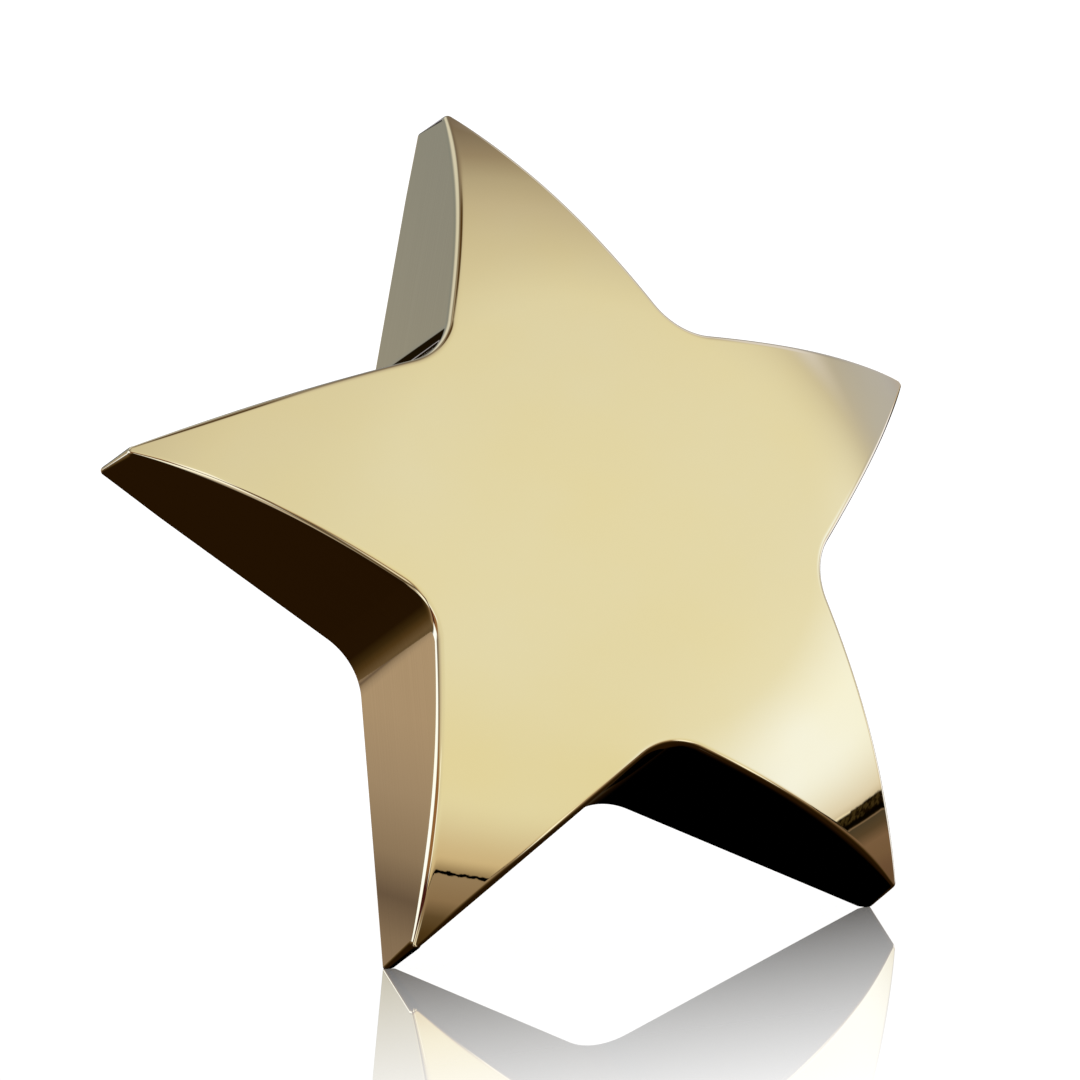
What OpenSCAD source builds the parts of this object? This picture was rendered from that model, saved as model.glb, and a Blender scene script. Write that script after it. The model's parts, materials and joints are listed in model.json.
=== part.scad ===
// Standing star award: a hollow five-pointed star, cast in brass and polished, that leans
// back on its two lower points and on a hinged strut behind it.
//
// Row frame: X to the right, the face looks along -Y, Z up. The origin is on the table,
// under the middle of the whole award with its strut open.
// Star frame: X to the right and Y up in the plane of the flat back, Z out of that back
// through the domed face. Everything is drawn in the star frame and stood up at the end.

/* [Star outline] */
// Distance from the star's centre to a point, where its sides would meet
tip_radius = 80; // [70:1:90]
// Distance from the centre to a notch, where its sides would meet
notch_radius = 39; // [36:0.5:42]
// Rounding of the five points
tip_round = 0.8; // [0.5:0.1:1.5]
// Rounding in the five notches
notch_round = 11.5; // [8:0.5:14]
// Slope of the side walls, which narrows the star towards its face
draft = 2; // [1:0.25:3]

/* [Domed face] */
// Thickness at the points
tip_thickness = 8.5; // [7:0.5:11]
// Radius of the almost flat crown in the middle of the face
crown_radius = 400; // [300:10:500]
// How far the crown reaches from the centre
crown_reach = 37.5; // [30:0.5:42]
// Radius at which the face then falls away to the points
shoulder_radius = 74; // [72:1:90]

/* [Casting] */
// Wall and skin thickness of the hollow casting
wall = 3.4; // [3:0.1:4]
// Radius of the dished ceiling inside the casting
ceiling_radius = 215; // [205:5:220]
// Distance of the screw bosses from the centre
boss_ring = 50; // [46:1:54]
// Radius of a screw boss
boss_radius = 3.8; // [3.4:0.1:4.5]

/* [Back plate] */
// Thickness of the plate that closes the back
plate_thickness = 2; // [1.6:0.1:2.4]
// Rim of the casting that stays round the plate
rim = 1.4; // [1.2:0.1:1.8]
// Gap between the plate and the rim
plate_gap = 0.15; // [0.1:0.05:0.3]

/* [Screws] */
// Radius of the machine screws
screw_radius = 1.4; // [1.3:0.05:1.4]
// Radius of a screw's countersunk head
screw_head_radius = 3; // [2.8:0.1:3]
// Length of the screws in the back plate
plate_screw_length = 9; // [7:0.5:11]

/* [Stance] */
// How far the star leans back from upright
lean = 28.4; // [22:0.2:34]
// Depth of the small flat ground on each lower point where it stands
toe_flat = 0.5; // [0.3:0.1:0.8]
// How far behind the lower points the strut stands
strut_stance = 66; // [60:1:72]

/* [Strut] */
// Height of the hinge above the star's centre, along the back
hinge_height = 12; // [8:1:18]
// Width of the strut
strut_width = 12; // [10:0.5:13]
// Thickness of the strut
strut_thickness = 3; // [2.5:0.25:3]
// Radius of the strut's knuckle
knuckle_radius = 3.5; // [3.2:0.1:3.6]
// Radius of the hinge pin
pin_radius = 1.5; // [1.25:0.05:1.6]

/* [Hidden] */

ARMS = 5;
HALF_STEP = 180 / ARMS;
TIP_FACETS = 8;
NOTCH_FACETS = 16;
CAVITY_TIP_ROUND = 3;
BIG = 300;
RUNNING_GAP = 0.05;
FINE = 96;
$fn = FINE;

// Star outline: the half angle of a point, and the distance of every side from the centre
tip_half = atan2(notch_radius * sin(HALF_STEP), tip_radius - notch_radius * cos(HALF_STEP));
notch_half = tip_half + HALF_STEP;
side_distance = tip_radius * sin(tip_half);

// Face profile: the shoulder arc meets the crown arc in a smooth line
shoulder_x = crown_reach - shoulder_radius * crown_reach / crown_radius;
crown_fall = crown_radius - sqrt(pow(crown_radius, 2) - pow(crown_reach, 2));
shoulder_z = crown_fall + sqrt(pow(shoulder_radius, 2) - pow(crown_reach - shoulder_x, 2));
function shoulder_fall(r) = shoulder_z - sqrt(pow(shoulder_radius, 2) - pow(r - shoulder_x, 2));
centre_thickness = tip_thickness + shoulder_fall(tip_radius);
prism_height = centre_thickness + 2;

// Stance: the lowest point of the outline rests on the table
toe_centre = tip_radius - tip_round / sin(tip_half);
toe_low = toe_centre * cos(HALF_STEP) + tip_round;
stand_height = toe_low * cos(lean) - toe_flat;
stand_back = toe_low * sin(lean);

// Hinge, in the star frame
base_thickness = 2;
base_width = 18.8;
base_length = 28;
ear_thickness = 2;
ear_radius = 4;
washer_thickness = 0.8;
washer_radius = 3.4;
hinge_out = 6;
hinge_screw_step = 10.5;
hinge_screw_length = 7.5;
nut_plate_thickness = 3;
nut_plate_width = 12;
ear_inside = strut_width / 2 + washer_thickness + 2 * RUNNING_GAP;
ear_outside = ear_inside + ear_thickness;
pin_head_radius = 2.6;
pin_head_length = 1;
clip_thickness = 0.6;
clip_radius = 3;
groove_radius = 1.1;
pin_tail = 1.6;

// Strut: from the hinge axis down to its foot, in the row's Y and Z before centring
hinge_y = stand_back + hinge_height * sin(lean) + hinge_out * cos(lean);
hinge_z = stand_height + hinge_height * cos(lean) - hinge_out * sin(lean);
strut_length = norm([strut_stance - hinge_y, hinge_z]);
strut_tilt = atan2(strut_stance - hinge_y, hinge_z);
strut_opening = lean + strut_tilt;
heel_length = 6.5;
heel_thickness = 3;
boot_wall = 2;
boot_height = 13;
boot_floor = 4;
boot_thickness = strut_thickness + 2 * boot_wall;
bumper_drop = 38;
bumper_radius = 4;
bumper_height = hinge_out - strut_thickness / 2 - 2 * RUNNING_GAP;

// Centring: the foremost point is on the sharp edge of a lower arm's face, and the rearmost
// is the boot's back edge
function narrowing(z) = 1 - z * tan(draft) / side_distance;
function face_height(r) = centre_thickness - shoulder_fall(r);
function edge_height(r) = face_height(r * narrowing(face_height(r * narrowing(face_height(r)))));
function reach_forward(p) = let (z = edge_height(norm(p)))
    z * cos(lean) - (p[1] * narrowing(z) + toe_low) * sin(lean);
notch_corner = notch_radius * [sin(0), -cos(0)];
tip_corner = tip_radius * [sin(HALF_STEP), -cos(HALF_STEP)];
front_reach = max([for (t = [0.3:0.01:0.9]) reach_forward((1 - t) * notch_corner + t * tip_corner)]);
rear_reach = strut_stance + boot_thickness / 2 / cos(strut_tilt);
centring = (front_reach - rear_reach) / 2;

// Outline of the star with its sides moved in by inset, as one list of points
function arc(centre, radius, from, to, facets) =
    [for (i = [0:facets]) let (a = from + (to - from) * i / facets)
        centre + radius * [cos(a), sin(a)]];
function star_points(inset, outer_round, inner_round) = let (
        size = 1 - inset / side_distance,
        tip = size * tip_radius - outer_round / sin(tip_half),
        notch = size * notch_radius + inner_round / sin(notch_half))
    [for (k = [0:ARMS - 1]) let (a = 90 + 2 * HALF_STEP * k, b = a + HALF_STEP)
        each concat(
            arc(tip * [cos(a), sin(a)], outer_round,
                a - 90 + tip_half, a + 90 - tip_half, TIP_FACETS),
            arc(notch * [cos(b), sin(b)], inner_round,
                b + 270 - notch_half, b + 90 + notch_half, NOTCH_FACETS))];

// Star with sloping sides
module star_prism(inset, outer_round, inner_round) {
    linear_extrude(prism_height, scale = 1 - prism_height * tan(draft) / (side_distance - inset))
        polygon(star_points(inset, outer_round, inner_round));
}

// Flat star plate
module star_plate(inset, outer_round, inner_round, height) {
    linear_extrude(height)
        polygon(star_points(inset, outer_round, inner_round));
}

// Everything under the domed face
module under_face() {
    rotate_extrude($fn = 2 * FINE)
        union() {
            intersection() {
                translate([0, centre_thickness - crown_radius])
                    circle(crown_radius, $fn = 12 * FINE);
                translate([0, -1])
                    square([crown_reach, centre_thickness + 2]);
            }
            intersection() {
                translate([shoulder_x, centre_thickness - shoulder_z])
                    circle(shoulder_radius, $fn = 4 * FINE);
                translate([crown_reach, -1])
                    square([tip_radius + 5 - crown_reach, centre_thickness + 2]);
            }
        }
}

// Everything under the casting's dished ceiling, with the ceiling moved out by offset
module under_ceiling(offset) {
    translate([0, 0, centre_thickness - wall + offset - ceiling_radius])
        sphere(ceiling_radius, $fn = 6 * FINE);
}

// One copy for each arm, at a distance from the centre
module on_arms(distance) {
    for (k = [0:ARMS - 1])
        rotate(90 + 2 * HALF_STEP * k)
            translate([distance, 0, 0])
                children();
}

// From the star frame to the row frame
module stand_up() {
    translate([0, stand_back + centring, stand_height])
        rotate([90 - lean, 0, 0])
            children();
}

// From the strut's own frame, with its axis along X and its length down -Y, to the star's
module on_hinge() {
    translate([0, hinge_height, -hinge_out])
        rotate([strut_opening, 0, 0])
            children();
}

// Round bar along X, centred
module bar_x(radius, length) {
    rotate([0, 90, 0])
        cylinder(r = radius, h = length, center = true);
}

// Everything below the table top
module below_table() {
    translate([-BIG / 2, -BIG / 2, -BIG])
        cube(BIG);
}

// Countersunk machine screw, with its head flush at z = 0 and its end at z = length
module screw(length) {
    head_height = screw_head_radius - screw_radius;
    socket_depth = 1.1;
    socket_radius = 1.15;
    difference() {
        union() {
            cylinder(r1 = screw_head_radius, r2 = screw_radius, h = head_height);
            cylinder(r = screw_radius, h = length);
        }
        translate([0, 0, -1])
            cylinder(r = socket_radius, h = socket_depth + 1, $fn = 6);
    }
}

// Space for that screw in a sheet
module screw_hole(gap) {
    head_height = screw_head_radius - screw_radius;
    translate([0, 0, -1])
        cylinder(r = screw_radius + gap, h = BIG / 10);
    cylinder(r1 = screw_head_radius + gap, r2 = screw_radius + gap, h = head_height);
}

// Positions of the two hinge screws, one above and one below the hinge axis
module at_hinge_screws() {
    for (side = [-1, 1])
        translate([0, hinge_height + side * hinge_screw_step, -base_thickness])
            children();
}

module star_shell() {
    color([0.83, 0.73, 0.46])
        difference() {
            stand_up()
                difference() {
                    union() {
                        difference() {
                            intersection() {
                                star_prism(0, tip_round, notch_round);
                                under_face();
                            }
                            intersection() {
                                translate([0, 0, plate_thickness / 2])
                                    star_prism(wall, CAVITY_TIP_ROUND, notch_round + wall);
                                under_ceiling(0);
                            }
                        }
                        intersection() {
                            on_arms(boss_ring)
                                cylinder(r = boss_radius, h = prism_height);
                            under_ceiling(wall / 2);
                        }
                    }
                    translate([0, 0, -1])
                        star_plate(rim, tip_round, notch_round + rim, plate_thickness + 1);
                    on_arms(boss_ring)
                        cylinder(r = screw_radius + 2 * RUNNING_GAP, h = plate_screw_length + 1);
                }
            below_table();
        }
}

module back_plate() {
    color([0.68, 0.57, 0.33])
        stand_up()
            difference() {
                star_plate(rim + plate_gap, tip_round, notch_round + rim, plate_thickness);
                on_arms(boss_ring)
                    screw_hole(0.1);
                translate([0, 0, base_thickness])
                    at_hinge_screws()
                        translate([0, 0, -1])
                            cylinder(r = screw_radius + 0.1, h = BIG / 10);
            }
}

module back_plate_screws() {
    color([0.75, 0.76, 0.78])
        stand_up()
            on_arms(boss_ring)
                screw(plate_screw_length);
}

module nut_plate() {
    color([0.6, 0.61, 0.63])
        stand_up()
            difference() {
                translate([-nut_plate_width / 2, hinge_height - base_length / 2, plate_thickness])
                    cube([nut_plate_width, base_length, nut_plate_thickness]);
                at_hinge_screws()
                    cylinder(r = screw_radius + 2 * RUNNING_GAP, h = BIG / 10);
            }
}

module hinge_bracket() {
    color([0.74, 0.63, 0.38])
        stand_up()
            difference() {
                union() {
                    translate([-base_width / 2, hinge_height - base_length / 2, -base_thickness])
                        cube([base_width, base_length, base_thickness]);
                    for (side = [-1, 1])
                        translate([side * (ear_inside + ear_outside) / 2, hinge_height, 0]) {
                            translate([0, 0, -hinge_out])
                                bar_x(ear_radius, ear_thickness);
                            translate([-ear_thickness / 2, -ear_radius, -hinge_out])
                                cube([ear_thickness, 2 * ear_radius, hinge_out]);
                        }
                }
                translate([0, hinge_height, -hinge_out])
                    bar_x(pin_radius + RUNNING_GAP / 2, 4 * ear_outside);
                at_hinge_screws()
                    screw_hole(0.1);
            }
}

module hinge_screws() {
    color([0.75, 0.76, 0.78])
        stand_up()
            at_hinge_screws()
                screw(hinge_screw_length);
}

module hinge_pin() {
    pin_end = ear_outside + 2 * RUNNING_GAP + clip_thickness + pin_tail;
    head_from = ear_outside + RUNNING_GAP;
    groove_width = clip_thickness + 2 * RUNNING_GAP;
    color([0.77, 0.78, 0.8])
        stand_up()
            translate([0, hinge_height, -hinge_out])
                difference() {
                    union() {
                        translate([(pin_end - head_from) / 2, 0, 0])
                            bar_x(pin_radius, pin_end + head_from);
                        translate([-head_from - pin_head_length / 2, 0, 0])
                            bar_x(pin_head_radius, pin_head_length);
                    }
                    translate([ear_outside + RUNNING_GAP + groove_width / 2, 0, 0])
                        difference() {
                            bar_x(pin_radius + 1, groove_width);
                            bar_x(groove_radius, groove_width + 1);
                        }
                }
}

module pin_clip() {
    mouth = 1.6;
    color([0.5, 0.51, 0.53])
        stand_up()
            translate([ear_outside + 2 * RUNNING_GAP + clip_thickness / 2, hinge_height, -hinge_out])
                difference() {
                    bar_x(clip_radius, clip_thickness);
                    bar_x(groove_radius + RUNNING_GAP, clip_thickness + 1);
                    translate([-clip_thickness, -clip_radius - 1, -mouth / 2])
                        cube([2 * clip_thickness, clip_radius + 1, mouth]);
                }
}

module hinge_washers() {
    color([0.9, 0.89, 0.84])
        stand_up()
            for (side = [-1, 1])
                translate([side * (strut_width / 2 + RUNNING_GAP + washer_thickness / 2),
                    hinge_height, -hinge_out])
                    difference() {
                        bar_x(washer_radius, washer_thickness);
                        bar_x(pin_radius + RUNNING_GAP, washer_thickness + 1);
                    }
}

module strut_bumper() {
    crown = 1;
    color([0.12, 0.12, 0.13])
        stand_up()
            translate([0, hinge_height - bumper_drop, 0])
                rotate([180, 0, 0]) {
                    cylinder(r = bumper_radius, h = bumper_height - crown);
                    translate([0, 0, bumper_height - crown])
                        cylinder(r1 = bumper_radius, r2 = bumper_radius - crown, h = crown);
                }
}

module strut_leg() {
    color([0.74, 0.63, 0.38])
        stand_up()
            difference() {
                union() {
                    on_hinge() {
                        bar_x(knuckle_radius, strut_width);
                        translate([-strut_width / 2, boot_floor - strut_length, -strut_thickness / 2])
                            cube([strut_width, strut_length - boot_floor, strut_thickness]);
                    }
                    translate([-strut_width / 2, hinge_height,
                        -base_thickness - RUNNING_GAP - heel_thickness])
                        cube([strut_width, heel_length, heel_thickness]);
                }
                on_hinge()
                    bar_x(pin_radius + RUNNING_GAP, 2 * strut_width);
            }
}

module strut_boot() {
    boot_width = strut_width + 2 * boot_wall;
    color([0.1, 0.1, 0.11])
        difference() {
            stand_up()
                on_hinge()
                    difference() {
                        translate([-boot_width / 2, -strut_length - boot_thickness,
                            -boot_thickness / 2])
                            cube([boot_width, boot_height + boot_thickness, boot_thickness]);
                        translate([-strut_width / 2, boot_floor - strut_length,
                            -strut_thickness / 2])
                            cube([strut_width, strut_length, strut_thickness]);
                    }
            below_table();
        }
}

star_shell();
back_plate();
back_plate_screws();
nut_plate();
hinge_bracket();
hinge_screws();
hinge_pin();
pin_clip();
hinge_washers();
strut_bumper();
strut_leg();
strut_boot();
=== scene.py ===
"""Star trophy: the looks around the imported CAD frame.

A hollow brass star, mirror polished, leans back on its two lower points and on a hinged strut.
Blender works in metres in the CAD's row frame: X to the right, the face looks along -Y, Z up.
The casting is drawn in its own star frame, in millimetres: X and Y in the plane of the flat
back, Z out through the domed face. STAND takes that frame to the row frame.
"""
import json
import math

import bpy
import numpy as np
from mathutils import Matrix, Vector


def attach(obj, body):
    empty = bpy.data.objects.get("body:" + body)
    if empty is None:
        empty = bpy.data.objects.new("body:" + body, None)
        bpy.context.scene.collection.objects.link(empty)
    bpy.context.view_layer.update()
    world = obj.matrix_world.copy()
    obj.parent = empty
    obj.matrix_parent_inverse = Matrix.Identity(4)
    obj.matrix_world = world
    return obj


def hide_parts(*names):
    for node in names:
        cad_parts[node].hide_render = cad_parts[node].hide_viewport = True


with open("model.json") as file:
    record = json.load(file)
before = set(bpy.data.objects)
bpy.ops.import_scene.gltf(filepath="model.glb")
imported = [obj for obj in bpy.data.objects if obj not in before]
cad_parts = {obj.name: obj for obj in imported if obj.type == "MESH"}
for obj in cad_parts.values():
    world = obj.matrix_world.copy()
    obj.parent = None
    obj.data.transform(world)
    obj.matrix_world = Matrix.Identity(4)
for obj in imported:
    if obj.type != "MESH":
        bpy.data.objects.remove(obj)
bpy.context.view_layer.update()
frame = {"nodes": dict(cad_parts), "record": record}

MM = 0.001

# ---------------------------------------------------------------- dimensions, as in the CAD
ARMS = 5
TIP_RADIUS = 80.0
NOTCH_RADIUS = 39.0
TIP_ROUND = 0.8
NOTCH_ROUND = 11.5
DRAFT = math.radians(2.0)
TIP_THICKNESS = 8.5
CROWN_RADIUS = 400.0
CROWN_REACH = 37.5
SHOULDER_RADIUS = 74.0
WALL = 3.4
CEILING_RADIUS = 215.0
CAVITY_TIP_ROUND = 3.0
RIM = 1.4
PLATE_THICKNESS = 2.0
LEAN = math.radians(28.4)
HINGE_HEIGHT = 12.0
HINGE_OUT = 6.0

HALF_STEP = math.pi / ARMS
TIP_HALF = math.atan2(
    NOTCH_RADIUS * math.sin(HALF_STEP), TIP_RADIUS - NOTCH_RADIUS * math.cos(HALF_STEP)
)
NOTCH_HALF = TIP_HALF + HALF_STEP
SIDE_DISTANCE = TIP_RADIUS * math.sin(TIP_HALF)
SHOULDER_X = CROWN_REACH * (1 - SHOULDER_RADIUS / CROWN_RADIUS)
SHOULDER_Z = (
    CROWN_RADIUS
    - math.sqrt(CROWN_RADIUS**2 - CROWN_REACH**2)
    + math.sqrt(SHOULDER_RADIUS**2 - (CROWN_REACH - SHOULDER_X) ** 2)
)
CENTRE_THICKNESS = (
    TIP_THICKNESS + SHOULDER_Z - math.sqrt(SHOULDER_RADIUS**2 - (TIP_RADIUS - SHOULDER_X) ** 2)
)

# The hinge's place in the row frame fixes where the star stands
HINGE = Vector(frame["record"]["behaviour"]["joints"][0]["pos_m"])
STAND = (
    Matrix.Translation(HINGE)
    @ Matrix.Rotation(math.pi / 2 - LEAN, 4, "X")
    @ Matrix.Translation((0, -HINGE_HEIGHT * MM, HINGE_OUT * MM))
)

# ---------------------------------------------------------------- camera
CAMERA_AZIMUTH = math.radians(-31.24)
CAMERA_ELEVATION = math.radians(9.14)
CAMERA_DISTANCE = 1.2344
CAMERA_LENS = 248.9
CAMERA_SENSOR = 36
CAMERA_NEAR = 0.01
CAMERA_FAR = 50
AIM_RIGHT = 0.85 * MM
AIM_UP = 5.51 * MM


def add_camera():
    """From the star's left, a little above it, through a long lens."""
    a, e = CAMERA_AZIMUTH, CAMERA_ELEVATION
    back = Vector((math.sin(a) * math.cos(e), -math.cos(a) * math.cos(e), math.sin(e)))
    right = Vector((math.cos(a), math.sin(a), 0))
    up = back.cross(right)
    aim = STAND.translation + right * AIM_RIGHT + up * AIM_UP
    data = bpy.data.cameras.new("camera")
    data.lens = CAMERA_LENS
    data.sensor_width = CAMERA_SENSOR
    data.clip_start = CAMERA_NEAR
    data.clip_end = CAMERA_FAR
    camera = bpy.data.objects.new("camera", data)
    turn = Matrix((right, up, back)).transposed().to_4x4()
    camera.matrix_world = Matrix.Translation(aim + back * CAMERA_DISTANCE) @ turn
    bpy.context.scene.collection.objects.link(camera)
    bpy.context.scene.camera = camera


# ---------------------------------------------------------------- node helpers
def rgb(red, green, blue):
    return (red, green, blue, 1)


def put(tree, kind, inputs=(), **settings):
    """A new node with its settings, and with its inputs given as values or as links."""
    made = tree.nodes.new("ShaderNode" + kind)
    for name, value in settings.items():
        setattr(made, name, value)
    for key, value in dict(inputs).items():
        if isinstance(value, bpy.types.NodeSocket):
            tree.links.new(value, made.inputs[key])
        else:
            made.inputs[key].default_value = value
    return made


def calc(tree, operation, *values):
    return put(tree, "Math", enumerate(values), operation=operation).outputs[0]


def dot(tree, vector, axis):
    return put(tree, "VectorMath", {0: vector, 1: axis}, operation="DOT_PRODUCT").outputs["Value"]


def fit(tree, value, start, end, low, high):
    """A straight ramp from low at start to high at end, clamped beyond both."""
    return put(tree, "MapRange", {"Value": value, 1: start, 2: end, 3: low, 4: high}).outputs[0]


def ease(tree, value, start, end, low=0.0, high=1.0):
    """A smooth step from low at start to high at end."""
    inputs = {"Value": value, 1: start, 2: end, 3: low, 4: high}
    return put(tree, "MapRange", inputs, interpolation_type="SMOOTHSTEP").outputs[0]


def mix(tree, share, below, above):
    inputs = {0: share, 6: below, 7: above}
    return put(tree, "Mix", inputs, data_type="RGBA").outputs[2]


def ramp(tree, value, stops):
    """Colours along a value, from stops of (value, colour). The first and last set its range."""
    first, last = stops[0][0], stops[-1][0]
    placed = fit(tree, value, first, last, 0.0, 1.0)
    made = put(tree, "ValToRGB", {0: placed})
    elements = made.color_ramp.elements
    for spare in list(elements)[1:]:
        elements.remove(spare)
    for index, (place, color) in enumerate(stops):
        share = (place - first) / (last - first)
        element = elements[0] if index == 0 else elements.new(share)
        element.position = share
        element.color = color
    return made.outputs[0]


# ---------------------------------------------------------------- materials
GOLD = (0.91, 0.79, 0.46)
GOLD_WARM = (0.91, 0.785, 0.435)
GOLD_PALE = (0.905, 0.80, 0.49)
SIDE_DARK = (0.88, 0.765, 0.445)
SIDE_LIGHT = (0.935, 0.815, 0.48)
MACHINED_DARK = (0.72, 0.61, 0.34)
MACHINED_LIGHT = (0.82, 0.71, 0.42)
CAST_DARK = (0.42, 0.33, 0.18)
CAST_BASE = (0.5, 0.4, 0.22)
CAST_LIGHT = (0.58, 0.47, 0.27)

# Noise stays mostly between these two values
NOISE_LOW = 0.3
NOISE_HIGH = 0.7


def new_material(name, color, metallic, roughness):
    material = bpy.data.materials.new(name)
    material.use_nodes = True
    shader = material.node_tree.nodes["Principled BSDF"]
    shader.inputs["Base Color"].default_value = rgb(*color)
    shader.inputs["Metallic"].default_value = metallic
    shader.inputs["Roughness"].default_value = roughness
    return material


def object_place(tree):
    return put(tree, "TexCoord").outputs["Object"]


def along_star(tree):
    """Object coordinates turned into the star's own frame, where the strut lies along Y."""
    turn = (LEAN - math.pi / 2, 0, 0)
    return put(tree, "Mapping", {"Vector": object_place(tree), "Rotation": turn}).outputs[0]


def along_sides(tree):
    """The run along the casting's outline and the height above its back, both in metres."""
    return put(tree, "UVMap", uv_map="sides").outputs[0]


def grain(tree, place, scale, stretch=(1, 1, 1), detail=4.0):
    """Noise from 0 to 1 at scale cells a metre. A stretch below 1 draws it out on that axis."""
    stretched = put(tree, "Mapping", {"Vector": place, "Scale": stretch})
    inputs = {"Vector": stretched.outputs[0], "Scale": scale, "Detail": detail}
    return put(tree, "TexNoise", inputs).outputs[0]


def span(tree, noise, low, high):
    return fit(tree, noise, NOISE_LOW, NOISE_HIGH, low, high)


def tinted(tree, noise, dark, light):
    return mix(tree, span(tree, noise, 0, 1), rgb(*dark), rgb(*light))


def finish(material, tint, roughness=None, height=None, strength=0.1, depth=0.05 * MM):
    """Gives a material its varying colour, roughness and relief."""
    tree = material.node_tree
    shader = tree.nodes["Principled BSDF"]
    tree.links.new(tint, shader.inputs["Base Color"])
    if roughness is not None:
        tree.links.new(roughness, shader.inputs["Roughness"])
    if height is not None:
        inputs = {"Height": height, "Strength": strength, "Distance": depth}
        tree.links.new(put(tree, "Bump", inputs).outputs[0], shader.inputs["Normal"])
    return material


def polished_gold():
    """Mirror polish, faintly clouded where the alloy has toned."""
    material = new_material("polished_gold", GOLD, 1, 0)
    tree = material.node_tree
    place = object_place(tree)
    clouds = grain(tree, place, 26, (1, 1, 1.4))
    waves = grain(tree, place, 70, detail=1.0)
    tint = tinted(tree, clouds, GOLD_WARM, GOLD_PALE)
    return finish(material, tint, None, waves, 1.0, 0.008 * MM)


def side_gold():
    """Polished along the run of the sides, which leaves long faint lines."""
    material = new_material("side_gold", GOLD, 1, 0)
    tree = material.node_tree
    lines = grain(tree, along_sides(tree), 1, (16, 4200, 1), 3.0)
    tint = tinted(tree, lines, SIDE_DARK, SIDE_LIGHT)
    return finish(material, tint, None, lines, 1.0, 0.001 * MM)


def machined_gold():
    """Left satin by the cutter, in fine lines along the outline."""
    material = new_material("machined_gold", GOLD, 1, 0.22)
    tree = material.node_tree
    marks = grain(tree, along_sides(tree), 1, (300, 9000, 1))
    tint = tinted(tree, marks, MACHINED_DARK, MACHINED_LIGHT)
    return finish(material, tint, span(tree, marks, 0.18, 0.3), marks, 0.15)


def cast_gold():
    """The skin that the mould left inside."""
    material = new_material("cast_gold", CAST_BASE, 1, 0.55)
    tree = material.node_tree
    place = object_place(tree)
    sand = grain(tree, place, 2200)
    stain = grain(tree, place, 60)
    tint = tinted(tree, stain, CAST_DARK, CAST_LIGHT)
    return finish(material, tint, span(tree, sand, 0.45, 0.65), sand, 0.5, 0.2 * MM)


def brushed(name, dark, light, rough, stretch):
    """Metal with fine lines along one axis of the star and a slow change of tone."""
    material = new_material(name, light, 1, rough[1])
    tree = material.node_tree
    place = along_star(tree)
    lines = grain(tree, place, 1, stretch, 6.0)
    cloud = grain(tree, place, 45)
    tone = calc(tree, "ADD", calc(tree, "MULTIPLY", lines, 0.6), calc(tree, "MULTIPLY", cloud, 0.4))
    tint = tinted(tree, tone, dark, light)
    return finish(material, tint, span(tree, lines, *rough), lines, 0.12)


def moulded(name, dark, light, rough, pitch, depth):
    """Moulded plastic or rubber, with a fine spark-eroded grain."""
    material = new_material(name, light, 0, rough[1])
    tree = material.node_tree
    place = object_place(tree)
    skin = grain(tree, place, pitch, detail=2.0)
    cloud = grain(tree, place, 80)
    tint = tinted(tree, cloud, dark, light)
    return finish(material, tint, span(tree, skin, *rough), skin, 0.4, depth)


# ---------------------------------------------------------------- the casting
TIP_STEPS = 12
SIDE_STEPS = 36
NOTCH_STEPS = 24
FACE_RINGS = 56
WALL_ROWS = 8
CEILING_RINGS = 12
HEIGHT_PASSES = 6

# The front edge's roll, narrower at the points
EDGE_LENGTH = 3.2
EDGE_LENGTH_TIP = 1.4
EDGE_TAPER = 12.0
EDGE_TAPER_END = TIP_RADIUS - 2
EDGE_REACH = 0.4
EDGE_SKEW = 0.66
EDGE_STEPS = 14
EDGE_SAMPLES = 8

# The back edge's roll, worn rounder near the upper points
BACK_EDGE_LENGTH = 0.6
BACK_EDGE_LENGTH_TIP = 2.0
BACK_EDGE_WORN_FROM = 68
BACK_EDGE_WORN_OVER = 10
BACK_EDGE_STEPS = 6

BRIM_HEIGHT = 0.6 * CENTRE_THICKNESS
UP = np.array([0.0, 0.0, 1.0])
TINY = 1e-9


def unit(v):
    return v / np.linalg.norm(v, axis=-1, keepdims=True)


def outline(inset, tip_round, notch_round):
    """The star with its sides moved in by inset: points in its plane, and outward normals."""
    size = 1 - inset / SIDE_DISTANCE
    tip = size * TIP_RADIUS - tip_round / math.sin(TIP_HALF)
    notch = size * NOTCH_RADIUS + notch_round / math.sin(NOTCH_HALF)
    tip_turn = math.pi / 2 - TIP_HALF
    notch_turn = math.pi / 2 - NOTCH_HALF
    points, normals = [], []

    def arc(angle, distance, radius, start, end, steps, outward):
        centre = distance * np.array([math.cos(angle), math.sin(angle)])
        turn = angle + np.linspace(start, end, steps + 1)
        ray = np.stack([np.cos(turn), np.sin(turn)], axis=1)
        points.append(centre + radius * ray)
        normals.append(outward * ray)

    for k in range(ARMS):
        a = math.pi / 2 + 2 * HALF_STEP * k
        b = a + HALF_STEP
        arc(a, tip, tip_round, -tip_turn, tip_turn, TIP_STEPS, 1)
        arc(b, notch, notch_round, math.pi + notch_turn, math.pi - notch_turn, NOTCH_STEPS, -1)

    filled, filled_normals = [], []
    for here, after, facing in zip(points, points[1:] + points[:1], normals):
        share = np.linspace(0, 1, SIDE_STEPS + 1)[1:-1, None]
        filled += [here, here[-1] + share * (after[0] - here[-1])]
        filled_normals += [facing, np.repeat(facing[-1:], SIDE_STEPS - 1, axis=0)]
    return np.concatenate(filled), np.concatenate(filled_normals)


def narrowing(height):
    """How much the drafted sides have closed in at a height above the back."""
    return 1 - height * math.tan(DRAFT) / SIDE_DISTANCE


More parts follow.
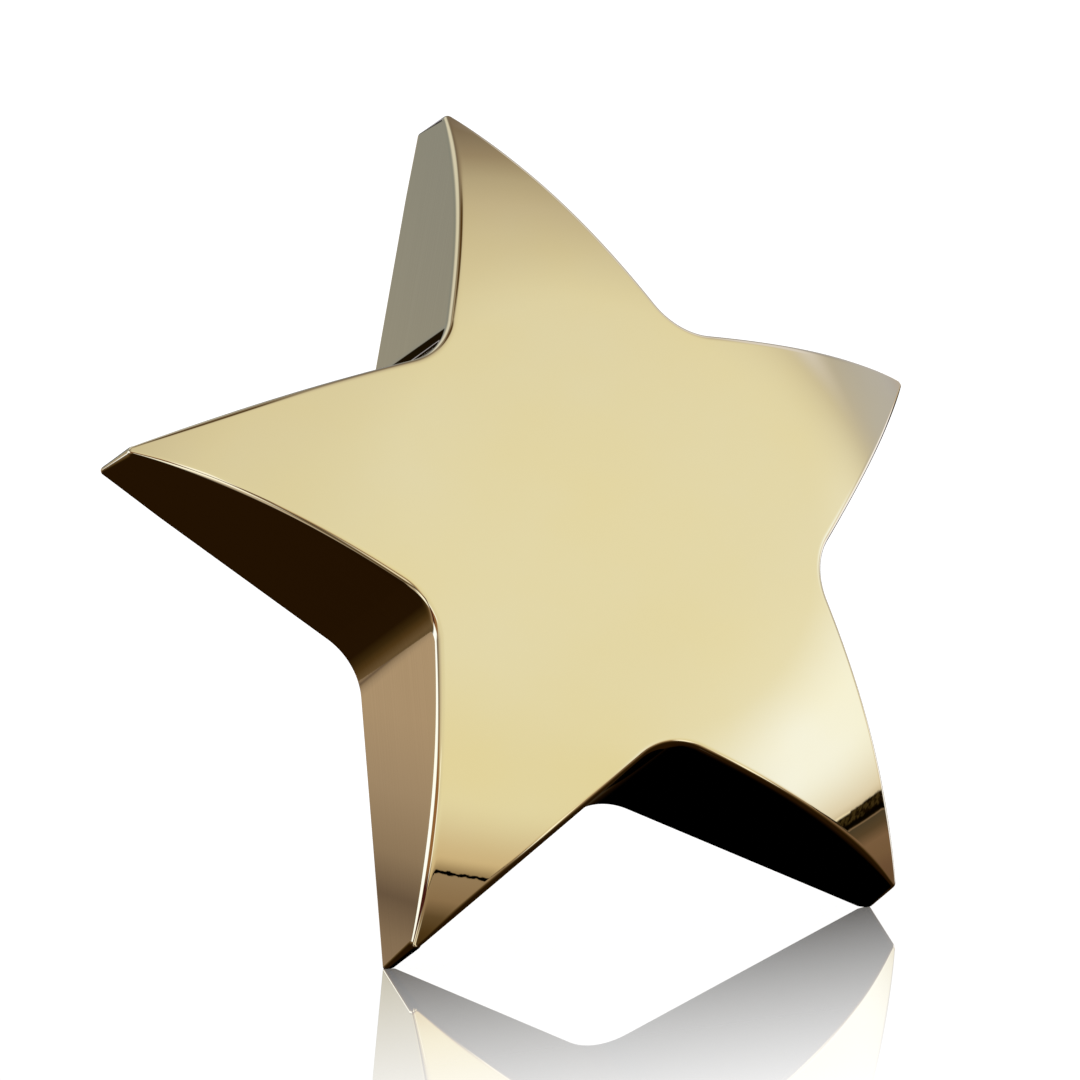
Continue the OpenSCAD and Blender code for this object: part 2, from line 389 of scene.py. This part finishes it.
def face_height(radius):
    """The dome: a shallow crown, then a tighter shoulder out to the points."""
    crown = CENTRE_THICKNESS - CROWN_RADIUS + np.sqrt(CROWN_RADIUS**2 - radius**2)
    beyond = np.maximum(radius, CROWN_REACH) - SHOULDER_X
    shoulder = CENTRE_THICKNESS - SHOULDER_Z + np.sqrt(SHOULDER_RADIUS**2 - beyond**2)
    return np.where(radius < CROWN_REACH, crown, shoulder)


def face_normal(plan):
    radius = np.linalg.norm(plan, axis=1, keepdims=True)
    slope = np.where(
        radius < CROWN_REACH, radius / CROWN_RADIUS, (radius - SHOULDER_X) / SHOULDER_RADIUS
    )
    outward = plan / np.maximum(radius, TINY)
    return np.concatenate([outward * slope, np.sqrt(1 - slope**2)], axis=1)


def raised(plan, height):
    """Points of a plan at one height, or at a height each."""
    column = np.broadcast_to(np.reshape(height, (-1, 1)), (len(plan), 1))
    return np.concatenate([plan, column], axis=1)


def between(rows):
    """The shares at which a surface is cut into rows, without its two ends."""
    return np.linspace(0, 1, rows + 1)[1:-1]


def rolled_edge(corner, normal_a, normal_b, length, steps, skew):
    """Rings over the edge between two surfaces. The turn eases in and out, as polishing leaves
    it, along an arc of the given length, or of a length for each column. A skew below 1 moves
    the turn towards the first surface."""
    facing = np.sum(normal_a * normal_b, axis=1, keepdims=True)
    angle = np.arccos(np.clip(facing, -1, 1))
    along = unit(normal_b - facing * normal_a)
    share = np.linspace(0, 1, EDGE_SAMPLES * steps + 1)
    eased = share**skew
    turned = (eased - np.sin(2 * math.pi * eased) / (2 * math.pi))[:, None, None] * angle
    heading = np.cos(turned) * along - np.sin(turned) * normal_a
    facing_out = np.cos(turned) * normal_a + np.sin(turned) * along
    stretch = np.reshape(length, (-1, 1)) / (EDGE_SAMPLES * steps)
    moved = np.cumsum((heading[:-1] + heading[1:]) / 2, axis=0) * stretch
    path = np.concatenate([np.zeros_like(heading[:1]), moved])
    # The start lies on the first surface and the end on the second
    reach = np.sum(path[-1] * normal_b, axis=1, keepdims=True) / np.sin(angle)
    start = corner - reach * along
    return [(start + path[k], facing_out[k]) for k in range(0, len(share), EDGE_SAMPLES)]


def edge_length(plan):
    """How wide the front edge is rolled: narrower towards the points, where it would not fit."""
    share = np.clip((EDGE_TAPER_END - np.linalg.norm(plan, axis=1)) / EDGE_TAPER, 0, 1)
    return EDGE_LENGTH_TIP + (EDGE_LENGTH - EDGE_LENGTH_TIP) * share * (2 - share)


def back_edge_length(plan):
    """The rear edge is worn rounder at the three upper points, which are handled the most."""
    beyond = np.linalg.norm(plan, axis=1) - BACK_EDGE_WORN_FROM
    share = np.clip(beyond / BACK_EDGE_WORN_OVER, 0, 1) * (plan[:, 1] > 0)
    return BACK_EDGE_LENGTH + (BACK_EDGE_LENGTH_TIP - BACK_EDGE_LENGTH) * share


def skin_rings(plan, side, down):
    """The outer skin: the face, its rolled edge, the drafted side, the back edge and the rim."""
    rise = math.tan(DRAFT) * np.sum(plan * side, axis=1) / SIDE_DISTANCE
    wall_normal = unit(raised(side, rise))
    radius = np.linalg.norm(plan, axis=1)
    height = face_height(radius)
    for _ in range(HEIGHT_PASSES):
        height = face_height(radius * narrowing(height))
    top = raised(plan * narrowing(height)[:, None], height)
    length = edge_length(plan)
    inner = top[:, :2] - EDGE_REACH * length[:, None] * side
    front_edge = rolled_edge(
        top, face_normal(inner), wall_normal, length, EDGE_STEPS, EDGE_SKEW
    )
    back_edge = rolled_edge(
        raised(plan, 0.0), wall_normal, down, back_edge_length(plan), BACK_EDGE_STEPS, 1.0
    )
    rings = []
    for share in between(FACE_RINGS):
        ring = front_edge[0][0][:, :2] * share
        rings.append((raised(ring, face_height(np.linalg.norm(ring, axis=1))), face_normal(ring)))
    rings += front_edge
    upper, lower = front_edge[-1][0], back_edge[0][0]
    for share in between(WALL_ROWS):
        rings.append((upper + share * (lower - upper), wall_normal))
    return rings + back_edge


def casting_sections():
    """Smooth sections of the casting, each a list of rings with their normals. Each section
    starts on the last ring of the one before, and the normals break there."""
    plan, side = outline(0, TIP_ROUND, NOTCH_ROUND)
    down = np.tile(-UP, (len(plan), 1))
    pocket, pocket_side = outline(RIM, TIP_ROUND, NOTCH_ROUND + RIM)
    pocket_edge = raised(pocket, 0.0)
    skin = skin_rings(plan, side, down) + [(pocket_edge, down)]

    into_pocket = raised(-pocket_side, 0.0)
    seat = raised(pocket, PLATE_THICKNESS)
    pocket_wall = [(pocket_edge, into_pocket), (seat, into_pocket)]

    cavity, cavity_side = outline(WALL, CAVITY_TIP_ROUND, NOTCH_ROUND + WALL)
    into_cavity = raised(-cavity_side, 0.0)
    mouth = raised(cavity * narrowing(PLATE_THICKNESS), PLATE_THICKNESS)
    ledge = [(seat, down), (mouth, down)]

    centre = (CENTRE_THICKNESS - WALL - CEILING_RADIUS) * UP

    def ceiling(ring):
        lift = np.sqrt(CEILING_RADIUS**2 - np.sum(ring**2, axis=1)) + centre[2]
        points = raised(ring, lift)
        return points, unit(centre - points)

    brim = cavity * narrowing(BRIM_HEIGHT)
    cavity_wall = [(mouth, into_cavity), (ceiling(brim)[0], into_cavity)]
    inside = [ceiling(brim * share) for share in np.linspace(1, 0, CEILING_RINGS + 1)[:-1]]
    return [skin, pocket_wall, ledge, cavity_wall, inside]


# The finishes, and the finish of each section in their order. Rows divide the skin further.
CASTING_FINISHES = {
    "polished": polished_gold,
    "side": side_gold,
    "machined": machined_gold,
    "cast": cast_gold,
}
SECTION_ZONES = ("polished", "machined", "machined", "cast", "cast")


def skin_zone(row):
    """The finish of a row of the skin: face and front edge, then side, then back edge and rim."""
    face_rows = FACE_RINGS - 2 + EDGE_STEPS + 1
    if row < face_rows:
        return "polished"
    if row < face_rows + WALL_ROWS + BACK_EDGE_STEPS:
        return "side"
    return "machined"


class CastingMesh:
    """Gathers the casting's points and faces, and for each face corner its exact normal and its
    place along the sides. Every ring has a point for each column."""

    def __init__(self, run):
        self.run = run
        self.columns = len(run) - 1
        self.points = []
        self.count = 0
        self.faces = []
        self.normals = []
        self.places = []
        self.zones = []

    def add_points(self, points):
        first = self.count
        self.points.append(points)
        self.count += len(points)
        return first

    def pairs(self):
        return [(i, (i + 1) % self.columns) for i in range(self.columns)]

    def fan_out(self, hub, first, normals):
        """Triangles from the face's centre to its first ring."""
        for i, j in self.pairs():
            self.faces.append((hub, first + i, first + j))
            self.normals.extend((UP, normals[i], normals[j]))
            self.places.extend([(0.0, 0.0)] * 3)
            self.zones.append(SECTION_ZONES[0])

    def fan_in(self, first, hub, normals):
        """Triangles from the last ring to the ceiling's centre."""
        for i, j in self.pairs():
            self.faces.append((first + i, hub, first + j))
            self.normals.extend((normals[i], -UP, normals[j]))
            self.places.extend([(0.0, 0.0)] * 3)
            self.zones.append(SECTION_ZONES[-1])

    def stitch(self, a, b, ring_a, ring_b, zone):
        """Quads between two rings, whose points start at a and at b."""
        run = self.run
        for i, j in self.pairs():
            self.faces.append((a + i, b + i, b + j, a + j))
            self.normals.extend((ring_a[1][i], ring_b[1][i], ring_b[1][j], ring_a[1][j]))
            low, high = ring_a[0][i, 2] * MM, ring_b[0][i, 2] * MM
            self.places.extend(
                [(run[i], low), (run[i], high), (run[i + 1], high), (run[i + 1], low)]
            )
            self.zones.append(zone)


def build_casting():
    sections = casting_sections()
    plan = outline(0, TIP_ROUND, NOTCH_ROUND)[0]
    steps = np.linalg.norm(np.roll(plan, -1, axis=0) - plan, axis=1)
    built = CastingMesh(np.concatenate([[0], np.cumsum(steps)]) * MM)
    hub = built.add_points(CENTRE_THICKNESS * UP[None])
    points, normals = sections[0][0]
    first = built.add_points(points)
    built.fan_out(hub, first, normals)
    for zone, section in zip(SECTION_ZONES, sections):
        for row, (ring_a, ring_b) in enumerate(zip(section, section[1:])):
            after = built.add_points(ring_b[0])
            row_zone = skin_zone(row) if section is sections[0] else zone
            built.stitch(first, after, ring_a, ring_b, row_zone)
            first = after
    hub = built.add_points((CENTRE_THICKNESS - WALL) * UP[None])
    built.fan_in(first, hub, sections[-1][-1][1])
    return built


def add_casting():
    """One closed mesh, mostly of quads, with exact normals so that its reflections run true."""
    built = build_casting()
    turn = np.array(STAND.to_3x3())
    placed = np.concatenate(built.points) * MM @ turn.T + np.array(STAND.translation)
    # The toes are ground flat where they stand
    placed[:, 2] = np.maximum(placed[:, 2], 0.0)
    mesh = bpy.data.meshes.new("star_casting")
    mesh.from_pydata(placed.tolist(), [], built.faces)
    mesh.polygons.foreach_set("use_smooth", [True] * len(mesh.polygons))
    finishes = list(dict.fromkeys(built.zones))
    mesh.polygons.foreach_set("material_index", [finishes.index(zone) for zone in built.zones])
    for zone in finishes:
        mesh.materials.append(CASTING_FINISHES[zone]())
    mesh.uv_layers.new(name="sides").data.foreach_set("uv", np.array(built.places).ravel())
    mesh.normals_split_custom_set((np.array(built.normals) @ turn.T).tolist())
    casting = bpy.data.objects.new("star_casting", mesh)
    bpy.context.scene.collection.objects.link(casting)
    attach(casting, "star")
    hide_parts("star_shell")


# ---------------------------------------------------------------- the other CAD nodes
FLAT_ANGLE = math.radians(0.5)
SHARP_ANGLE = math.radians(35)
EASE_SEGMENTS = 3


def ease_edges(node, width):
    """Rounds a node's sharp edges with modifiers, which leave its own mesh alone."""
    flat = node.modifiers.new("merge_flats", "DECIMATE")
    flat.decimate_type = "DISSOLVE"
    flat.angle_limit = FLAT_ANGLE
    bevel = node.modifiers.new("ease_edges", "BEVEL")
    bevel.width = width
    bevel.segments = EASE_SEGMENTS
    bevel.limit_method = "ANGLE"
    bevel.angle_limit = SHARP_ANGLE
    bevel.use_clamp_overlap = True
    bevel.harden_normals = True
    node.data.polygons.foreach_set("use_smooth", [True] * len(node.data.polygons))


def finish_cad_nodes():
    """Gives each carried-over node its material, and eases its sharp edges."""
    satin = brushed(
        "satin_gold", (0.74, 0.625, 0.385), (0.79, 0.675, 0.43), (0.26, 0.36), (14, 5200, 14)
    )
    hinge = brushed(
        "hinge_brass", (0.69, 0.575, 0.345), (0.76, 0.645, 0.4), (0.26, 0.38), (4200, 20, 4200)
    )
    steel = brushed(
        "screw_steel", (0.6, 0.6, 0.61), (0.74, 0.74, 0.75), (0.16, 0.3), (2400, 2400, 500)
    )
    spring = brushed(
        "spring_steel", (0.2, 0.2, 0.22), (0.36, 0.36, 0.38), (0.3, 0.45), (300, 2200, 300)
    )
    nylon = moulded("nylon", (0.82, 0.79, 0.71), (0.88, 0.86, 0.8), (0.38, 0.5), 2500, 0.03 * MM)
    rubber = moulded(
        "black_rubber", (0.018, 0.018, 0.02), (0.035, 0.035, 0.038), (0.5, 0.72), 3200, 0.06 * MM
    )
    # Each node's material, and how wide its edges are eased in millimetres
    looks = {
        "back_plate": (satin, 0.25),
        "back_plate_screws": (steel, 0.12),
        "nut_plate": (spring, 0.2),
        "hinge_bracket": (hinge, 0.3),
        "hinge_screws": (steel, 0.12),
        "hinge_pin": (steel, 0.15),
        "pin_clip": (spring, 0.08),
        "hinge_washers": (nylon, 0.08),
        "strut_bumper": (rubber, 0.4),
        "strut_leg": (hinge, 0.35),
        "strut_boot": (rubber, 0.5),
    }
    for name, (material, width) in looks.items():
        node = frame["nodes"][name]
        node.data.materials.clear()
        node.data.materials.append(material)
        ease_edges(node, width * MM)
    # The strut stays out of the reflections in the table and in the casting
    for name in ("strut_leg", "strut_boot"):
        frame["nodes"][name].visible_glossy = False


# ---------------------------------------------------------------- studio
FRAY_SCALE = 60.0
WHITE = rgb(1, 1, 1)
BLACK = rgb(0, 0, 0)


class Studio:
    """What metal sees round the table, by azimuth (0 in front of the star, 90 to its right) and
    elevation, in degrees. Each call lays one more soft shape over the others."""

    def __init__(self, tree):
        self.tree = tree
        self.direction = put(tree, "TexCoord").outputs["Generated"]
        self.elevation = self.degrees("ARCSINE", dot(tree, self.direction, (0, 0, 1)))
        self.color = None

    def degrees(self, operation, *values):
        return calc(self.tree, "DEGREES", calc(self.tree, operation, *values))

    def inside(self, angle, half, softness):
        distance = calc(self.tree, "ABSOLUTE", angle)
        return ease(self.tree, distance, half - softness, half + softness, 1, 0)

    def noise(self):
        inputs = {"Vector": self.direction, "Scale": FRAY_SCALE, "Detail": 3.0}
        return put(self.tree, "TexNoise", inputs).outputs[0]

    def backdrop(self, stops):
        """Colours that change from the front of the table to behind it."""
        self.color = ramp(self.tree, dot(self.tree, self.direction, (0, 1, 0)), stops)

    def below(self, height, softness, color):
        share = ease(self.tree, self.elevation, height - softness, height + softness, 1, 0)
        self.color = mix(self.tree, share, self.color, color)

    def card(self, azimuth, elevation, width, height, softness, color, opacity=1.0, rough=0.0):
        """A soft-edged rectangle, width and height degrees across. Rough frays its edges."""
        tree = self.tree
        a, e = math.radians(azimuth), math.radians(elevation)
        toward = (math.sin(a) * math.cos(e), -math.cos(a) * math.cos(e), math.sin(e))
        right = (math.cos(a), math.sin(a), 0)
        up = (-math.sin(a) * math.sin(e), math.cos(a) * math.sin(e), math.cos(e))
        across = self.degrees(
            "ARCTAN2", dot(tree, self.direction, right), dot(tree, self.direction, toward)
        )
        along = self.degrees("ARCSINE", dot(tree, self.direction, up))
        if rough:
            sway = calc(tree, "MULTIPLY_ADD", self.noise(), 2 * rough, -rough)
            along = calc(tree, "ADD", along, sway)
        covered_across = self.inside(across, width / 2, softness)
        covered_along = self.inside(along, height / 2, softness)
        share = calc(tree, "MULTIPLY", covered_across, covered_along)
        share = calc(tree, "MULTIPLY", share, opacity)
        self.color = mix(tree, share, self.color, color)


def light_sky(studio):
    """A pale tent round the front, brightest low on the right, that ends behind the star."""
    studio.backdrop([
        (-0.60, rgb(0.79, 0.78, 0.73)),
        (-0.40, rgb(0.76, 0.74, 0.69)),
        (-0.15, rgb(0.66, 0.63, 0.60)),
        (0.00, rgb(0.59, 0.55, 0.53)),
        (0.15, rgb(0.49, 0.45, 0.43)),
        (0.29, rgb(0.34, 0.29, 0.27)),
        (0.39, rgb(0.27, 0.23, 0.22)),
        (0.50, rgb(0.20, 0.16, 0.15)),
        (1.00, rgb(0.26, 0.29, 0.36)),
    ])
    # A cool panel on the right, and two paler ones in front
    studio.card(112, 15, 50, 26, 12, rgb(0.52, 0.54, 0.70), 0.9)
    studio.card(34, 32, 76, 32, 14, rgb(0.87, 0.88, 0.87), 0.8)
    studio.card(8, 18, 60, 26, 12, rgb(0.84, 0.83, 0.75))
    # A dark opening overhead, and a cool panel behind
    studio.card(-120, 77, 26, 26, 6, rgb(0.09, 0.05, 0.02))
    studio.card(-165, 35, 50, 30, 8, rgb(0.72, 0.74, 0.86))
    # The tent's warm hem, and the lamp low on the right
    studio.below(4, 8, rgb(0.66, 0.54, 0.41))
    studio.card(57, 12, 36, 24, 10, rgb(1.02, 1.12, 1.48))


def table_and_painted_shade(studio):
    """A brown table below the horizon, with a dark gap along its far edge, and painted shade,
    black, steeply below and behind on the right, where the floor under the star lies in shadow.
    """
    tree = studio.tree
    table = ramp(tree, studio.elevation, [
        (-90, BLACK),
        (-58, rgb(0.0175, 0.0075, 0.0015)),
        (-33, rgb(0.018, 0.008, 0.002)),
        (-25, rgb(0.042, 0.024, 0.008)),
        (-19, rgb(0.079, 0.046, 0.018)),
        (-15, rgb(0.125, 0.083, 0.05)),
        (-11, rgb(0.28, 0.20, 0.15)),
        (-6, rgb(0.32, 0.24, 0.19)),
    ])
    rear_table = ramp(tree, studio.elevation, [
        (-33, rgb(0.018, 0.008, 0.002)),
        (-25, rgb(0.042, 0.024, 0.008)),
        (-19, rgb(0.079, 0.046, 0.018)),
        (-12, rgb(0.137, 0.092, 0.057)),
        (0, rgb(0.10, 0.08, 0.05)),
    ])
    right_table = ramp(tree, studio.elevation, [
        (-18, rgb(0.13, 0.08, 0.05)),
        (-14, rgb(0.16, 0.095, 0.07)),
        (-12, rgb(0.19, 0.12, 0.085)),
        (-9.5, rgb(0.205, 0.13, 0.095)),
        (-7.5, rgb(0.10, 0.068, 0.045)),
        (-5, rgb(0.06, 0.05, 0.04)),
    ])
    studio.below(-3.4, 2.4, rgb(0.24, 0.17, 0.11))
    studio.below(-5.0, 0.3, table)
    studio.card(-145, -16, 30, 34, 1, rear_table)
    studio.card(72, -12, 56, 14, 0.6, right_table)
    # Painted shade: black steeply below and behind on the right, where the floor under the star
    # lies in shadow
    studio.card(158, -58, 36, 56, 3, BLACK)
    # The ragged line of the gap in front
    studio.card(-5, -4.8, 60, 0.7, 0.15, BLACK, rough=0.6)
    # The mottled gap on the right, dark below, with a thin lip under it and a glint above it
    mottle = ease(tree, studio.noise(), 0.42, 0.62)
    gap = mix(tree, mottle, rgb(0.008, 0.004, 0.001), rgb(0.046, 0.031, 0.012))
    studio.card(70, -4.05, 48, 2.9, 0.2, gap, rough=0.25)
    studio.card(70, -4.9, 48, 0.9, 0.3, rgb(0.002, 0.001, 0), rough=0.25)
    studio.card(67, -5.6, 20, 0.25, 0.12, rgb(0.2, 0.14, 0.11))
    studio.card(57.5, -2.6, 6, 0.3, 0.25, rgb(1.0, 0.95, 0.95))
    # Behind: a cool panel low down, with a dark one beside it
    studio.card(159, 2, 16, 10, 1, rgb(0.40, 0.40, 0.52))
    studio.card(174.5, 7.5, 15, 6, 1, rgb(0.01, 0.006, 0.002))


def light_edges(studio):
    """White and dark strips that only the rolled edges catch."""
    # On the left: white behind the star, then brown and dark beside it, then white again
    studio.card(-133, 3, 38, 15, 2, rgb(1.15, 1.3, 1.9))
    studio.card(-86, 10, 44, 16, 3, rgb(0.30, 0.15, 0.075))
    studio.card(-78, -1, 64, 9, 1.5, rgb(0.06, 0.012, 0.012))
    studio.card(-58, 12, 10, 22, 2, rgb(1.1, 1.15, 1.4))
    # Low on the left, seen under the left arm: white, then paler, dark and pale strips
    studio.card(-68, -21, 20, 30, 3, rgb(1.1, 1.15, 1.4))
    studio.card(-46, -41, 52, 26, 5, rgb(0.56, 0.50, 0.52))
    studio.card(-46, -41, 30, 26, 4, rgb(0.12, 0.085, 0.055))
    studio.card(-31, -24, 24, 18, 4, rgb(0.90, 0.85, 0.90))
    # In front and on the right: two white strips, a dark one behind and a cool one above
    studio.card(24, -6, 10, 16, 3, rgb(1.1, 1.1, 1.2))
    studio.card(99, -6, 34, 20, 3, rgb(1.0, 1.05, 1.45))
    studio.card(136, -15, 36, 26, 3, rgb(0.03, 0.022, 0.014))
    studio.card(108, 38, 34, 16, 4, rgb(0.75, 0.76, 1.0))


def light_tent(tent):
    """The white tent, as satin surfaces see it: low dark cards give their form, and the one low
    behind is painted shade for the back plate.
    """
    tent.color = ramp(tent.tree, tent.elevation, [
        (-90, rgb(0.50, 0.49, 0.47)),
        (-20, rgb(0.66, 0.65, 0.63)),
        (-2, rgb(0.84, 0.84, 0.83)),
        (2, WHITE),
    ])
    tent.card(85, -34, 40, 52, 12, rgb(0.38, 0.38, 0.39))
    tent.card(-95, -34, 30, 52, 12, rgb(0.45, 0.45, 0.46))
    # Painted shade: dark low behind the star, which the back plate mirrors as the shaded floor
    # there
    tent.card(-160, -62, 30, 20, 9, rgb(0.30, 0.29, 0.28))


def light_world():
    """White for the camera and for matt surfaces, a tent for satin ones, and a studio, set up as
    a photographer would, for the mirror polish."""
    world = bpy.data.worlds.new("studio")
    bpy.context.scene.world = world
    world.use_nodes = True
    world.cycles.sampling_method = "NONE"
    tree = world.node_tree
    studio = Studio(tree)
    light_sky(studio)
    table_and_painted_shade(studio)
    light_edges(studio)
    tent = Studio(tree)
    light_tent(tent)
    path = put(tree, "LightPath").outputs
    plain = calc(tree, "MAXIMUM", path["Is Camera Ray"], path["Is Diffuse Ray"])
    seen = mix(tree, path["Is Singular Ray"], tent.color, studio.color)
    seen = mix(tree, plain, seen, WHITE)
    background = tree.nodes["Background"]
    tree.links.new(seen, background.inputs["Color"])
    background.inputs["Strength"].default_value = 1.0


# ---------------------------------------------------------------- board and floor
BOARD_AZIMUTH = math.radians(-154.4)
BOARD_ORIGIN = (-0.043, -0.018, 0)
BOARD_DISTANCE = 0.25
BOARD_LEFT = 0.036
BOARD_RIGHT = -0.03
BOARD_TOP = 0.09
# The board reaches below the table, where it stands in for its painted reflection in the table
BOARD_BOTTOM = -0.06

FLOOR_REACH = 6.0
FLOOR_COLOR = (0.3, 0.3, 0.3)
FLOOR_GLOW = 0.85
TOE_ROW = -0.028
MIRROR_SHARE = 0.86
MIRROR_REACH = 0.137
MIRROR_END = TOE_ROW + 0.02
MIRROR_FULL = TOE_ROW + 0.002
# Just rough enough that its rays see the tent and not the studio
MIRROR_ROUGHNESS = 0.01


def add_plane(name, corners, material):
    mesh = bpy.data.meshes.new(name)
    mesh.from_pydata(corners, [], [(0, 1, 2, 3)])
    mesh.materials.append(material)
    plane = bpy.data.objects.new(name, mesh)
    bpy.context.scene.collection.objects.link(plane)
    return plane


def place_along(tree, axis):
    return put(tree, "SeparateXYZ", {0: object_place(tree)}).outputs[axis]


def board_glow_and_painted_shadow():
    """Tan and glowing, with a painted shadow darkest where the board meets the table, and below the
    table a painted reflection of the board in it.
    """
    material = bpy.data.materials.new("tan_card")
    material.use_nodes = True
    tree = material.node_tree
    tree.nodes.remove(tree.nodes["Principled BSDF"])
    # Painted shadow along the board's foot at the table, and painted reflection of the board below
    # the table
    color = ramp(tree, place_along(tree, "Z"), [
        (-0.020, rgb(0.33, 0.24, 0.22)),
        (-0.006, rgb(0.25, 0.19, 0.17)),
        (0.002, rgb(0.15, 0.11, 0.10)),
        (0.010, rgb(0.29, 0.225, 0.20)),
        (0.022, rgb(0.38, 0.30, 0.275)),
        (0.036, rgb(0.44, 0.345, 0.31)),
        (0.060, rgb(0.46, 0.36, 0.32)),
    ])
    glow = put(tree, "Emission", {"Color": color})
    tree.links.new(glow.outputs[0], tree.nodes["Material Output"].inputs["Surface"])
    return material


def add_tan_card():
    """A tan board that stands behind on the left, and that the lower left wall mirrors. Only
    reflections show it. Its foot carries a painted shadow, and its part below the table is a
    painted reflection of it."""
    a = BOARD_AZIMUTH
    toward = Vector((math.sin(a), -math.cos(a), 0))
    right = Vector((math.cos(a), math.sin(a), 0))
    foot = Vector(BOARD_ORIGIN) + BOARD_DISTANCE * toward
    left_end, right_end = foot + BOARD_LEFT * right, foot + BOARD_RIGHT * right
    top, bottom = Vector((0, 0, BOARD_TOP)), Vector((0, 0, BOARD_BOTTOM))
    corners = [left_end + bottom, right_end + bottom, right_end + top, left_end + top]
    card = add_plane("tan_card", corners, board_glow_and_painted_shadow())
    card.visible_camera = False
    card.visible_diffuse = False
    card.visible_shadow = False


def floor_sheet():
    """White with a faint shadow, and a mirror that fades in towards the toes."""
    material = new_material("floor", FLOOR_COLOR, 0, 0.6)
    tree = material.node_tree
    shader = tree.nodes["Principled BSDF"]
    shader.inputs["Specular IOR Level"].default_value = 0
    shader.inputs["Emission Color"].default_value = WHITE
    shader.inputs["Emission Strength"].default_value = FLOOR_GLOW
    mirror = put(tree, "BsdfAnisotropic", {"Roughness": MIRROR_ROUGHNESS, "Color": WHITE})
    place = place_along(tree, "Y")
    fade = fit(tree, place, TOE_ROW - MIRROR_REACH, TOE_ROW, 0.0, MIRROR_SHARE)
    front = ease(tree, place, MIRROR_FULL, MIRROR_END, 1.0, 0.0)
    share = calc(tree, "MULTIPLY", fade, front)
    both = put(tree, "MixShader", {0: share, 1: shader.outputs[0], 2: mirror.outputs[0]})
    tree.links.new(both.outputs[0], tree.nodes["Material Output"].inputs["Surface"])
    return material


def add_floor():
    """A pale sheet that stays white, and that mirrors the star in front of its toes."""
    r = FLOOR_REACH
    corners = [(-r, -r, 0), (r, -r, 0), (r, r, 0), (-r, r, 0)]
    floor = add_plane("floor", corners, floor_sheet())
    floor.visible_glossy = False


add_camera()
add_casting()
finish_cad_nodes()
add_floor()
add_tan_card()
light_world()
bpy.context.scene.view_settings.view_transform = "Standard"
